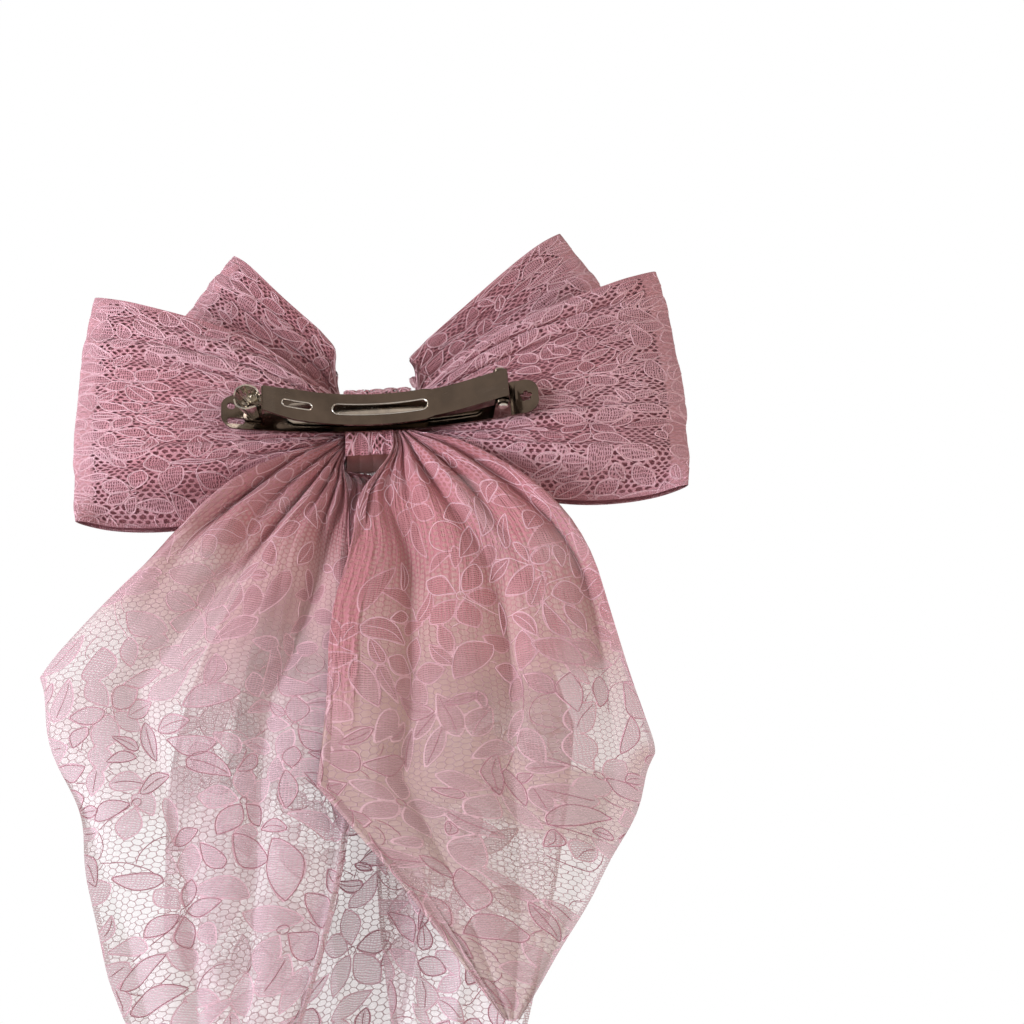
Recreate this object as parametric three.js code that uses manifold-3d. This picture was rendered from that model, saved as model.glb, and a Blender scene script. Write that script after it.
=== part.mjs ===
// Lace hair bow on an 80 mm spring barrette.
// Millimetres. +Z is up when worn, -Y is the decorative front, +Y faces the head.
// The origin is the middle of the barrette's grip. "Left" is -X, the wearer's left seen from behind.

import * as THREE from 'three';
import { mergeVertices } from 'three/addons/utils/BufferGeometryUtils.js';
import Module from 'manifold-3d';

const wasm = await Module();
wasm.setup();

// ---------------------------------------------------------------- driving dimensions

const METAL = 0.6;              // sheet metal of the base plate and the arm
const BASE_HALF_WIDTH = 4.75;
const BASE_RADIUS = 125;        // the base plate's curve, hollow side towards the head
const BASE_LOW_Y = -5;          // centre line of the base plate in the middle of the clip
const BASE_ARC_END = 30;        // beyond this the base plate runs on straight to its end tabs
const BASE_END = { hinge: -40.5, catch: 39.5 };
const FLOWER = { x: -37.3, petalAt: 0.95, petal: 0.6, middle: 0.6 };   // hole in the hinge-end tab

const ARM_RADIUS = 50;
const ARM_LOW_Y = -2.3;
const ARM_ARC_END = -22;
const ARM_TIP = 28.6;
const ARM_HINGE_END = -32.6;
const ARM_HALF_WIDTH = 4.4;
const ARM_NECK_HALF_WIDTH = 3.85;

const PIVOT = new THREE.Vector2(-31, 5.2);
const PIN_RADIUS = 0.75;
const PIN_HOLE_RADIUS = 1.0;
const EAR = { from: 4.15, to: 4.75 };       // the base plate's hinge ears, in Z
const CHEEK = { from: 3.25, to: 3.85 };     // the arm's side flanges, in Z

const TENSION_THICKNESS = 0.5;
const TENSION_LOW_Y = -3.7;
const TENSION_RADIUS = 141;

const WING_WALL = 0.45;
const RIVET_X = 31.7;

const KNOT_HALF_LENGTH = 9;                 // along X
const KNOT = { front: -21.7, back: -6.7, halfHeight: 11, wall: 1 };
const LACE = 0.8;                           // gathered lace, as one sheet
const LINING = 0.5;
const LINING_INSET = 1.2;
const LINING_START = 16;                    // reach below which a loop has no lining
const LOBE_ROOT_X = 8.3;                    // where a loop's sheets enter the knot

// ---------------------------------------------------------------- looks

const nickel = { color: '#6b6259', roughness: 0.22, metalness: 1 };
const steelWire = { color: '#7a736b', roughness: 0.3, metalness: 1 };
const lace = { color: '#c08d97', roughness: 0.85, metalness: 0 };
const lining = { color: '#a8707a', roughness: 0.7, metalness: 0 };
const thread = { color: '#b98690', roughness: 0.8, metalness: 0 };
const glue = { color: '#d9d3c4', roughness: 0.5, metalness: 0 };

const bow = new THREE.Group();

function add(name, geometry, look) {
  const mesh = new THREE.Mesh(geometry, new THREE.MeshStandardMaterial(look));
  mesh.name = name;
  bow.add(mesh);
  return mesh;
}

// ---------------------------------------------------------------- solids

function toSolid(geometry) {
  const bare = geometry.clone();
  bare.deleteAttribute('normal');
  bare.deleteAttribute('uv');
  const merged = mergeVertices(bare, 1e-5);
  const vertProperties = Float32Array.from(merged.attributes.position.array);
  const triVerts = Uint32Array.from(merged.index.array);
  return new wasm.Manifold(new wasm.Mesh({ numProp: 3, vertProperties, triVerts }));
}

function toGeometry(solid) {
  const mesh = solid.getMesh();
  const geometry = new THREE.BufferGeometry();
  geometry.setAttribute('position', new THREE.BufferAttribute(mesh.vertProperties, 3));
  geometry.setIndex(new THREE.BufferAttribute(mesh.triVerts, 1));
  geometry.computeVertexNormals();
  return geometry;
}

function join(first, ...others) {
  return toGeometry(others.reduce((whole, other) => whole.add(toSolid(other)), toSolid(first)));
}

function cut(first, ...tools) {
  return toGeometry(tools.reduce((whole, tool) => whole.subtract(toSolid(tool)), toSolid(first)));
}

function common(first, second) {
  return toGeometry(toSolid(first).intersect(toSolid(second)));
}

// ---------------------------------------------------------------- outlines and extrusions

// A shape drawn in X, Y and extruded along Z.
function extrudeZ(shape, from, to, curveSegments = 10) {
  const options = { depth: to - from, bevelEnabled: false, curveSegments };
  return new THREE.ExtrudeGeometry(shape, options).translate(0, 0, from);
}

// A shape drawn in X, Z and extruded along Y.
function extrudeY(shape, from, to, curveSegments = 10) {
  const options = { depth: to - from, bevelEnabled: false, curveSegments };
  return new THREE.ExtrudeGeometry(shape, options).rotateX(Math.PI / 2).translate(0, to, 0);
}

function box(x0, x1, y0, y1, z0, z1) {
  const size = new THREE.BoxGeometry(x1 - x0, y1 - y0, z1 - z0);
  return size.translate((x0 + x1) / 2, (y0 + y1) / 2, (z0 + z1) / 2);
}

function roundedBar(x0, x1, halfHeight, radius, middle = 0) {
  const shape = new THREE.Shape();
  shape.moveTo(x0 + radius, middle - halfHeight);
  shape.lineTo(x1 - radius, middle - halfHeight);
  shape.absarc(x1 - radius, middle - halfHeight + radius, radius, -Math.PI / 2, 0);
  shape.absarc(x1 - radius, middle + halfHeight - radius, radius, 0, Math.PI / 2);
  shape.lineTo(x0 + radius, middle + halfHeight);
  shape.absarc(x0 + radius, middle + halfHeight - radius, radius, Math.PI / 2, Math.PI);
  shape.absarc(x0 + radius, middle - halfHeight + radius, radius, Math.PI, Math.PI * 1.5);
  return shape;
}

function disc(x, y, radius) {
  return new THREE.Shape().absarc(x, y, radius, 0, Math.PI * 2);
}

// The outline of a strip of even thickness along a centre line.
function stripShape(line, thickness) {
  const edge = (side) => line.map((point, i) => {
    const before = line[Math.max(i - 1, 0)];
    const after = line[Math.min(i + 1, line.length - 1)];
    const along = after.clone().sub(before).normalize();
    return new THREE.Vector2(-along.y, along.x).multiplyScalar((side * thickness) / 2).add(point);
  });
  return new THREE.Shape([...edge(-1), ...edge(1).reverse()]);
}

function arcPoint(x, lowY, radius) {
  return new THREE.Vector2(x, lowY + radius - Math.sqrt(radius * radius - x * x));
}

function arcLine(x0, x1, lowY, radius, steps) {
  const line = [];
  for (let i = 0; i <= steps; i += 1) line.push(arcPoint(x0 + ((x1 - x0) * i) / steps, lowY, radius));
  return line;
}

function slopeOfArc(x, radius) {
  return x / Math.sqrt(radius * radius - x * x);
}

// ---------------------------------------------------------------- base plate

function baseLine() {
  const slope = slopeOfArc(BASE_ARC_END, BASE_RADIUS);
  const edge = arcPoint(BASE_ARC_END, BASE_LOW_Y, BASE_RADIUS);
  const straight = (x) => new THREE.Vector2(x, edge.y + slope * (Math.abs(x) - BASE_ARC_END));
  const arc = arcLine(-BASE_ARC_END, BASE_ARC_END, BASE_LOW_Y, BASE_RADIUS, 16);
  return [straight(BASE_END.hinge), ...arc, straight(BASE_END.catch)];
}

function baseY(x) {
  const inside = Math.min(Math.abs(x), BASE_ARC_END);
  const beyond = Math.abs(x) - inside;
  const slope = slopeOfArc(BASE_ARC_END, BASE_RADIUS);
  return arcPoint(inside, BASE_LOW_Y, BASE_RADIUS).y + slope * beyond;
}

function basePlate() {
  const outline = roundedBar(BASE_END.hinge, BASE_END.catch, BASE_HALF_WIDTH, 3.6);
  outline.holes.push(disc(37, 1.6, 1.0));
  outline.holes.push(roundedBar(33.6, 38.0, 0.9, 0.88, -2.6));
  outline.holes.push(disc(RIVET_X, 0, 1.1));
  const strip = extrudeZ(stripShape(baseLine(), METAL), -6, 6);
  const petalCentres = [0, 1, 2, 3, 4].map((i) => {
    const angle = Math.PI * (0.5 + 0.4 * i);
    return [FLOWER.x + FLOWER.petalAt * Math.cos(angle), FLOWER.petalAt * Math.sin(angle)];
  });
  const petals = petalCentres.map((centre) => extrudeY(disc(...centre, FLOWER.petal), -6, 6, 8));
  const flower = [extrudeY(disc(FLOWER.x, 0, FLOWER.middle), -6, 6, 8), ...petals];
  const plate = cut(common(strip, extrudeY(outline, -8, 8, 6)), ...flower);

  const ear = new THREE.Shape();
  ear.moveTo(-33.3, baseY(33.3));
  ear.lineTo(-28.7, baseY(28.7));
  ear.lineTo(PIVOT.x + 1.8, PIVOT.y);
  ear.absarc(PIVOT.x, PIVOT.y, 1.8, 0, Math.PI);
  ear.holes.push(disc(PIVOT.x, PIVOT.y, PIN_HOLE_RADIUS));
  const ears = [extrudeZ(ear, EAR.from, EAR.to, 8), extrudeZ(ear, -EAR.to, -EAR.from, 8)];

  const stopFoot = baseY(34.7);
  const stopTab = box(-35.0, -34.4, stopFoot, stopFoot + 3.6, -2.4, 2.4);
  return join(plate, ...ears, stopTab);
}

// ---------------------------------------------------------------- clasp arm

function armPlan() {
  const shape = new THREE.Shape();
  shape.moveTo(ARM_HINGE_END, -ARM_NECK_HALF_WIDTH);
  shape.lineTo(-14, -ARM_NECK_HALF_WIDTH);
  shape.lineTo(-12, -ARM_HALF_WIDTH);
  shape.lineTo(21, -ARM_HALF_WIDTH);
  shape.lineTo(29.4, -3.4);
  shape.lineTo(29.4, 3.4);
  shape.lineTo(21, ARM_HALF_WIDTH);
  shape.lineTo(-12, ARM_HALF_WIDTH);
  shape.lineTo(-14, ARM_NECK_HALF_WIDTH);
  shape.lineTo(ARM_HINGE_END, ARM_NECK_HALF_WIDTH);
  shape.holes.push(roundedBar(-12.6, 11.6, 1.5, 1.48));
  shape.holes.push(roundedBar(16.6, 24, 1.0, 0.98));
  return shape;
}

// The tip is folded down into a lip whose notch rides over the catch and locks behind its barbs.
function noseLip() {
  const lip = new THREE.Shape();
  lip.moveTo(-3.4, 6.7);
  lip.lineTo(-3.4, 4.4);
  lip.lineTo(-2.9, 2.9);
  lip.lineTo(-1.6, 2.9);
  lip.lineTo(-1.6, 3.5);
  lip.lineTo(-1.9, 3.5);
  lip.lineTo(-1.9, 6.0);
  lip.lineTo(1.9, 6.0);
  lip.lineTo(1.9, 3.5);
  lip.lineTo(1.6, 3.5);
  lip.lineTo(1.6, 2.9);
  lip.lineTo(2.9, 2.9);
  lip.lineTo(3.4, 4.4);
  lip.lineTo(3.4, 6.7);
  const options = { depth: METAL, bevelEnabled: false };
  return new THREE.ExtrudeGeometry(lip, options).rotateY(-Math.PI / 2).translate(28.9, 0, 0);
}

function cheekShape() {
  const shape = new THREE.Shape();
  const slope = slopeOfArc(-ARM_ARC_END, ARM_RADIUS);
  const bend = arcPoint(ARM_ARC_END, ARM_LOW_Y, ARM_RADIUS);
  const top = (x) => bend.y + slope * (ARM_ARC_END - x);
  shape.moveTo(-14, arcPoint(-14, ARM_LOW_Y, ARM_RADIUS).y);
  shape.lineTo(ARM_ARC_END, bend.y);
  shape.lineTo(ARM_HINGE_END, top(ARM_HINGE_END));
  shape.lineTo(PIVOT.x - 1.9, PIVOT.y);
  shape.absarc(PIVOT.x, PIVOT.y, 1.9, Math.PI, Math.PI * 1.75);
  shape.lineTo(-24, 1.6);
  shape.lineTo(-14.2, arcPoint(-14, ARM_LOW_Y, ARM_RADIUS).y - 1.1);
  shape.holes.push(disc(PIVOT.x, PIVOT.y, PIN_HOLE_RADIUS));
  return shape;
}

function claspArm() {
  const slope = slopeOfArc(-ARM_ARC_END, ARM_RADIUS);
  const bend = arcPoint(ARM_ARC_END, ARM_LOW_Y, ARM_RADIUS);
  const rise = slope * (ARM_ARC_END - ARM_HINGE_END);
  const hingeEnd = new THREE.Vector2(ARM_HINGE_END, bend.y + rise);
  const line = [hingeEnd, ...arcLine(ARM_ARC_END, ARM_TIP, ARM_LOW_Y, ARM_RADIUS, 18)];
  const strip = extrudeZ(stripShape(line, METAL), -6, 6);
  const blade = common(strip, extrudeY(armPlan(), -6, 12, 5));
  const cheeks = [
    extrudeZ(cheekShape(), CHEEK.from, CHEEK.to, 8),
    extrudeZ(cheekShape(), -CHEEK.to, -CHEEK.from, 8),
  ];
  return join(blade, noseLip(), ...cheeks);
}

// ---------------------------------------------------------------- pin, tension bow, catch

function hingePin() {
  const shank = EAR.to + 0.3;
  const head = shank + 0.5;
  const profile = [
    [0, -head], [1.0, -head], [1.3, -head + 0.25], [1.3, -shank], [PIN_RADIUS, -shank],
    [PIN_RADIUS, shank], [1.3, shank], [1.3, head - 0.25], [1.0, head], [0, head],
  ].map(([r, y]) => new THREE.Vector2(r, y));
  return new THREE.LatheGeometry(profile, 20).rotateX(Math.PI / 2).translate(PIVOT.x, PIVOT.y, 0);
}

function tensionBow() {
  const line = arcLine(-26.5, 23.4, TENSION_LOW_Y, TENSION_RADIUS, 12);
  const strip = extrudeZ(stripShape(line, TENSION_THICKNESS), -4, 4);
  return common(strip, extrudeY(roundedBar(-26.5, 23.4, 2.9, 2.4), -6, 2, 5));
}

// Turns a piece drawn about the Y axis so that it stands square on the base plate near the catch.
function squareToBase(geometry, x) {
  const slope = slopeOfArc(BASE_ARC_END, BASE_RADIUS);
  return geometry.rotateZ(Math.atan(slope)).translate(x, baseY(x), 0);
}

function catchFoot() {
  const bottom = METAL / 2 + 0.3;
  const outline = roundedBar(-2.5, 2.5, 2.6, 1.0);
  outline.holes.push(disc(0, 0, 1.1));
  return squareToBase(extrudeY(outline, bottom, bottom + 0.5, 6), RIVET_X);
}

function catchRivet() {
  const profile = [
    [0, -1.1], [1.5, -1.1], [1.8, -0.6], [0.8, -0.6], [0.8, 1.4], [1.6, 1.4], [1.1, 1.9], [0, 1.9],
  ].map(([r, y]) => new THREE.Vector2(r, y));
  return squareToBase(new THREE.LatheGeometry(profile, 18), RIVET_X);
}

// One half of the catch: a thin curved wall between a curve near the arm and a curve near the base,
// mirrored for the other half. They meet at the seam line and spread towards the notch in the arm.
function catchWing(side) {
  const top = [
    [27.6, 5.2, 1.1], [29.2, 5.6, 1.3], [30.3, 7.2, 2.6], [32.8, 7.6, 3.4], [35.0, 7.6, 2.4], [35.6, 7.6, 0.5],
  ].map((p) => new THREE.Vector3(...p));
  const bottom = [
    [27.6, 3.6, 1.1], [29.2, 3.2, 1.3], [30.0, 1.2, 2.0], [31.6, 0.9, 2.4], [32.8, 0.9, 1.6], [33.2, 0.9, 0.5],
  ].map((p) => new THREE.Vector3(...p));
  const topCurve = new THREE.CatmullRomCurve3(top, false, 'centripetal');
  const bottomCurve = new THREE.CatmullRomCurve3(bottom, false, 'centripetal');
  const rows = [];
  const steps = 15;
  for (let i = 0; i <= steps; i += 1) {
    const high = topCurve.getPoint(i / steps);
    const low = bottomCurve.getPoint(i / steps);
    rows.push([0, 1 / 3, 2 / 3, 1].map((t) => {
      const point = low.clone().lerp(high, t);
      return new THREE.Vector3(point.x, point.y, side * point.z);
    }));
  }
  return sheetSolid(rows, WING_WALL);
}

// ---------------------------------------------------------------- sheets

// A closed solid of even thickness about a grid of points: rows of equal length.
function sheetSolid(rows, thickness) {
  const rowCount = rows.length;
  const columnCount = rows[0].length;
  const at = (r, c) => {
    const row = Math.min(Math.max(r, 0), rowCount - 1);
    return rows[row][Math.min(Math.max(c, 0), columnCount - 1)];
  };
  const positions = [];
  [1, -1].forEach((side) => {
    for (let r = 0; r < rowCount; r += 1) {
      for (let c = 0; c < columnCount; c += 1) {
        const down = at(r + 1, c).clone().sub(at(r - 1, c));
        const across = at(r, c + 1).clone().sub(at(r, c - 1));
        const normal = down.cross(across).normalize();
        const point = at(r, c).clone().addScaledVector(normal, (side * thickness) / 2);
        positions.push(point.x, point.y, point.z);
      }
    }
  });
  const far = rowCount * columnCount;
  const id = (r, c) => r * columnCount + c;
  const faces = [];
  const quad = (a, b, c, d) => faces.push(a, b, c, a, c, d);
  for (let r = 0; r < rowCount - 1; r += 1) {
    for (let c = 0; c < columnCount - 1; c += 1) {
      quad(id(r, c), id(r + 1, c), id(r + 1, c + 1), id(r, c + 1));
      quad(far + id(r, c), far + id(r, c + 1), far + id(r + 1, c + 1), far + id(r + 1, c));
    }
    const last = columnCount - 1;
    quad(id(r, 0), far + id(r, 0), far + id(r + 1, 0), id(r + 1, 0));
    quad(id(r, last), id(r + 1, last), far + id(r + 1, last), far + id(r, last));
  }
  for (let c = 0; c < columnCount - 1; c += 1) {
    const last = rowCount - 1;
    quad(id(0, c), id(0, c + 1), far + id(0, c + 1), far + id(0, c));
    quad(id(last, c), far + id(last, c), far + id(last, c + 1), id(last, c + 1));
  }
  const geometry = new THREE.BufferGeometry();
  geometry.setAttribute('position', new THREE.Float32BufferAttribute(positions, 3));
  geometry.setIndex(faces);
  geometry.computeVertexNormals();
  return geometry;
}

// ---------------------------------------------------------------- loops

// A loop is a strip of lace folded back on itself: out along its back sheet, round the fold and
// home along its front sheet. A path point is [reach, y, half height]; reach is measured along the
// loop, which rises by its tilt and then by a lift that grows with reach to the power of its bend.
// The strip leans with the tilt once it is clear of the knot, and over the knot by its overhang.
const rearPath = [
  [8.3, -11.4, 7.5], [14, -9.0, 10.5], [24, -6.0, 17], [36, -3.6, 23.5], [50, -2.6, 28.5],
  [64, -4.5, 32], [73, -8.2, 33.5], [76.3, -10.5, 34], [74, -12.8, 33.5],
  [64, -16.2, 32], [50, -18.6, 28.5], [36, -18.6, 23.5], [24, -17.0, 17], [14, -14.6, 10.5],
  [8.3, -13.6, 7.5],
];
const frontPath = [
  [8.3, -16.8, 6], [9.8, -17.1, 8], [12, -17.7, 13.5], [15, -18.4, 16], [24, -20.6, 19],
  [36, -21.6, 23], [50, -22.4, 27], [58, -24.4, 29], [63, -27.0, 29.6], [65, -29.4, 30],
  [61, -32.4, 29.4], [50, -36.2, 27], [36, -38.0, 23], [24, -34.0, 19], [15, -26.3, 16],
  [12, -21.9, 13.5], [9.8, -19.6, 8], [8.3, -19.2, 6],
];
const loops = [
  {
    name: 'rear', end: 'right', side: 1, path: rearPath,
    tilt: 2, rise: 7, bend: 2, reach: 1, overhang: 0,
  },
  {
    name: 'rear', end: 'left', side: -1, path: rearPath,
    tilt: 0, rise: 8.5, bend: 2, reach: 1.01, overhang: 0,
  },
  {
    name: 'front', end: 'right', side: 1, path: frontPath,
    tilt: 33, rise: 10, bend: 0.6, reach: 1.01, overhang: 0,
  },
  {
    name: 'front', end: 'left', side: -1, path: frontPath,
    tilt: 25, rise: 13, bend: 0.6, reach: 1.17, overhang: 18,
  },
];

function loopRows(loop, path) {
  const { degToRad, smoothstep } = THREE.MathUtils;
  const tilt = degToRad(loop.tilt);
  const overhang = degToRad(loop.overhang);
  const longest = Math.max(...loop.path.map(([reach]) => reach)) - LOBE_ROOT_X;
  return path.map(([reach, y, halfHeight]) => {
    const out = (reach - LOBE_ROOT_X) * loop.reach;
    const over = smoothstep(out, 0, 15) * (1 - smoothstep(out, 30, 70));
    const lean = tilt * smoothstep(out, 0, 18) + overhang * over;
    const lift = loop.rise * Math.pow((reach - LOBE_ROOT_X) / longest, loop.bend);
    const x = LOBE_ROOT_X + out * Math.cos(tilt);
    const z = 0.5 + out * Math.sin(tilt) + lift;
    return [-1, 0, 1].map((t) => {
      const along = t * halfHeight;
      return new THREE.Vector3(loop.side * (x - along * Math.sin(lean)), y, z + along * Math.cos(lean));
    });
  });
}

// The lining follows the loop inside it and stops short of the knot and of the loop's edges.
function liningPath(path) {
  const inside = path.map(([reach, y, halfHeight], i) => {
    const before = path[Math.max(i - 1, 0)];
    const after = path[Math.min(i + 1, path.length - 1)];
    const along = new THREE.Vector2(after[0] - before[0], after[1] - before[1]).normalize();
    return [reach + LINING_INSET * along.y, y - LINING_INSET * along.x, halfHeight - LINING_INSET];
  });
  return inside.filter((point, i) => path[i][0] > LINING_START);
}

// ---------------------------------------------------------------- tails

// Each tail is one layer that hangs from the knot. A station gives the tail's inner and outer
// edge as [x, y, z]; the sheet runs from the first station to the last.
const tails = {
  rear_tail_left: [
    [[-3.2, -6.25, -4.6], [-8.3, -6.25, -4.6]],
    [[-3.2, -6.25, -10.3], [-12.6, -5.8, -6.4]],
    [[0.8, -6.4, -15.8], [-21, -4.2, -9.8]],
    [[7, -7, -22.5], [-39, -0.8, -26]],
    [[7.4, -7.6, -38], [-49.5, -3, -40.4]],
    [[13, -8, -55], [-54, -6, -60]],
    [[13.9, -8, -75], [-57, -7.5, -77]],
    [[17.2, -8, -96], [-60, -8, -92]],
    [[-1, -8, -120], [-45.5, -8, -118]],
    [[-20, -8, -149], [-23.5, -8, -149]],
  ],
  rear_tail_right: [
    [[8.5, -9.8, -8.0], [8.5, -9.8, -2.8]],
    [[9.9, -9.8, -13], [13, -8.0, -5.5]],
    [[8.2, -10, -20], [22, -3.6, -10.4]],
    [[9, -10.5, -34], [46.5, -0.8, -27.5]],
    [[9.5, -11, -55], [63, -3.5, -45]],
    [[9, -11, -75], [83, -7, -66.3]],
    [[9, -11, -97], [75.5, -8, -94]],
    [[14, -11, -122], [70, -8, -117]],
    [[24, -10, -150], [61.5, -8, -148]],
    [[38, -8, -178], [42, -8, -180]],
  ],
  front_tail_left: [
    [[-8.5, -15.2, -8.0], [-8.5, -15.2, -2.8]],
    [[-9.9, -15.8, -12.8], [-12.5, -16.0, -7.5]],
    [[-2.5, -16.4, -16], [-18, -17.0, -16]],
    [[2, -17, -40], [-34, -17, -40]],
    [[5, -17, -80], [-42, -17, -80]],
    [[6, -17, -120], [-35, -17, -122]],
    [[3, -17, -160], [-21, -17, -162]],
    [[-4, -17, -196], [-8, -17, -197]],
  ],
  front_tail_right: [
    [[8.5, -15.2, -8.0], [8.5, -15.2, -2.8]],
    [[9.9, -15.8, -12.8], [12.5, -16.0, -7.5]],
    [[2.5, -18.2, -16], [20, -18.0, -16]],
    [[-3, -21, -40], [40, -20, -40]],
    [[-6, -22, -80], [54, -22, -80]],
    [[-4, -22, -120], [56, -22, -122]],
    [[6, -22, -160], [38, -22, -160]],
    [[20, -22, -203], [24, -22, -204]],
  ],
};

function tailRows(stations) {
  return stations.map(([inner, outer]) => {
    const from = new THREE.Vector3(...inner);
    const to = new THREE.Vector3(...outer);
    return [0, 1 / 3, 2 / 3, 1].map((t) => from.clone().lerp(to, t));
  });
}

// ---------------------------------------------------------------- knot

function knotWrap() {
  const { front, back, halfHeight, wall } = KNOT;
  const middle = (front + back) / 2;
  const halfDepth = (back - front) / 2;
  const outer = roundedBar(-halfDepth, halfDepth, halfHeight, 4);
  outer.holes.push(roundedBar(wall - halfDepth, halfDepth - wall, halfHeight - wall, 3));
  const options = { depth: 2 * KNOT_HALF_LENGTH, bevelEnabled: false, curveSegments: 6 };
  const ring = new THREE.ExtrudeGeometry(outer, options).translate(0, 0, -KNOT_HALF_LENGTH);
  ring.rotateX(Math.PI / 2).rotateZ(Math.PI / 2);
  return ring.translate(0, middle, 0);
}

function gatherCore() {
  const outline = roundedBar(-5, 5, 8.9, 3);
  const core = new THREE.ExtrudeGeometry(outline, { depth: 16, bevelEnabled: false, curveSegments: 4 });
  core.translate(0, 0, -8).rotateX(Math.PI / 2).rotateZ(Math.PI / 2).translate(0, -14.2, 0);
  const waist = roundedBar(-7, 7, 12, 3);
  waist.holes.push(new THREE.Path().absellipse(0, 0, 3.6, 7.6, 0, Math.PI * 2));
  const groove = new THREE.ExtrudeGeometry(waist, { depth: 12, bevelEnabled: false, curveSegments: 10 });
  groove.translate(0, 0, -6).rotateX(Math.PI / 2).rotateZ(Math.PI / 2).translate(0, -14.2, 0);
  return cut(core, groove);
}

class Winding extends THREE.Curve {
  getPoint(t) {
    const turns = 4;
    const angle = t * turns * Math.PI * 2;
    return new THREE.Vector3(5.2 * (2 * t - 1), -14.2 + 4.35 * Math.cos(angle), 8.35 * Math.sin(angle));
  }
}

function bindingThread() {
  const section = disc(0, 0, 0.4);
  const options = { steps: 72, extrudePath: new Winding(), curveSegments: 4 };
  return new THREE.ExtrudeGeometry(section, options);
}

// ---------------------------------------------------------------- assembly

add('base_plate', basePlate(), nickel);
add('clasp_arm', claspArm(), nickel);
add('hinge_pin', hingePin(), nickel);
add('tension_bow', tensionBow(), nickel);
add('catch_foot', catchFoot(), nickel);
add('catch_rivet', catchRivet(), steelWire);
add('catch_wing_upper', catchWing(1), nickel);
add('catch_wing_lower', catchWing(-1), nickel);

loops.forEach((loop) => {
  add(`${loop.name}_loop_${loop.end}`, sheetSolid(loopRows(loop, loop.path), LACE), lace);
  const inner = loopRows(loop, liningPath(loop.path));
  add(`${loop.name}_lining_${loop.end}`, sheetSolid(inner, LINING), lining);
});
Object.entries(tails).forEach(([name, stations]) => {
  add(name, sheetSolid(tailRows(stations), LACE), lace);
});

add('gather_core', gatherCore(), lace);
add('binding_thread', bindingThread(), thread);
add('knot_wrap', knotWrap(), lace);
add('adhesive_pad', box(-7, 7, -6.4, -5.6, -4.2, 4.2), glue);

export default bow;
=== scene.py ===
"""Lace hair bow on a sprung barrette: the looks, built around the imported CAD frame."""

import math

import bpy
import numpy as np
from mathutils import Matrix, Vector


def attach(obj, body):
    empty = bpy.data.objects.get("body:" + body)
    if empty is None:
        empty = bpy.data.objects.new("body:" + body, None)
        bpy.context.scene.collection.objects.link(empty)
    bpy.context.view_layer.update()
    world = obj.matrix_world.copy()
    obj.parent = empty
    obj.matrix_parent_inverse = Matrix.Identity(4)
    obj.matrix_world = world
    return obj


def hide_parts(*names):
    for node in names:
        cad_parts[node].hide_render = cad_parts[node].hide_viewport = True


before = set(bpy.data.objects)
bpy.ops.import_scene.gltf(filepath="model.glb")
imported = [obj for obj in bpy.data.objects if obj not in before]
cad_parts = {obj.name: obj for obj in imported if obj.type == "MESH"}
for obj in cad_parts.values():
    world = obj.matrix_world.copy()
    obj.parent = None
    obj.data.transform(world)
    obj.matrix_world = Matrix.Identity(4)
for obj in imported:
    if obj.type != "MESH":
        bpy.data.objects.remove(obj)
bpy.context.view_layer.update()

MM = 0.001

# -------------------------- the bow's layout, mm
# The same paths as the CAD sheets: +X is the catch end, +Y the head side, +Z up.

LOBE_ROOT_X, LOBE_ROOT_Z = 8.3, 0.5
TAIL_WIDTH = 84.0
REAR_PATH = [
    (8.3, -11.4, 7.5), (14, -9.0, 10.5), (24, -6.0, 17), (36, -3.6, 23.5), (50, -2.6, 28.5),
    (64, -4.5, 32), (73, -8.2, 33.5), (76.6, -10.5, 34), (74, -12.8, 33.5),
    (64, -16.2, 32), (50, -18.6, 28.5), (36, -18.6, 23.5), (24, -17.0, 17), (14, -14.6, 10.5),
    (8.3, -13.6, 7.5),
]
FRONT_PATH = [
    (8.3, -16.8, 6), (9.8, -17.1, 8), (12, -17.7, 13.5), (15, -18.4, 16), (24, -20.6, 19),
    (36, -21.6, 23), (50, -22.4, 27), (58, -24.4, 29), (63, -27.0, 29.6), (65.4, -29.4, 30),
    (61, -32.4, 29.4), (50, -36.2, 27), (36, -38.0, 23), (24, -34.0, 19), (15, -26.3, 16),
    (12, -21.9, 13.5), (9.8, -19.6, 8), (8.3, -19.2, 6),
]
# A loop's rear and front layers fill out by the two shares of full. Its lower edge is drawn up by
# low and its upper edge by high, shares of its half width. Its upper part leans over the knot by
# overhang, in degrees.
REAR = dict(path=REAR_PATH, bend=2, overhang=0, width=72, full=(1.0, 0.35), closed=1, belly=2.2, high=0)
FRONT = dict(path=FRONT_PATH, bend=0.6, width=66, full=(0.5, 1.0), closed=0.5, belly=0.6, low=0, high=0.06)
LOOPS = {
    "rear_loop_right": dict(REAR, side=1, tilt=2, rise=7, reach=1, low=0.02, seed=11),
    "rear_loop_left": dict(REAR, side=-1, tilt=0, rise=8.5, reach=1.01, low=0.085, seed=23),
    "front_loop_right": dict(FRONT, side=1, tilt=33, rise=10, reach=1.01, overhang=0, seed=37),
    "front_loop_left": dict(FRONT, side=-1, tilt=25, rise=13, reach=1.17, overhang=18, seed=41),
}
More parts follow.
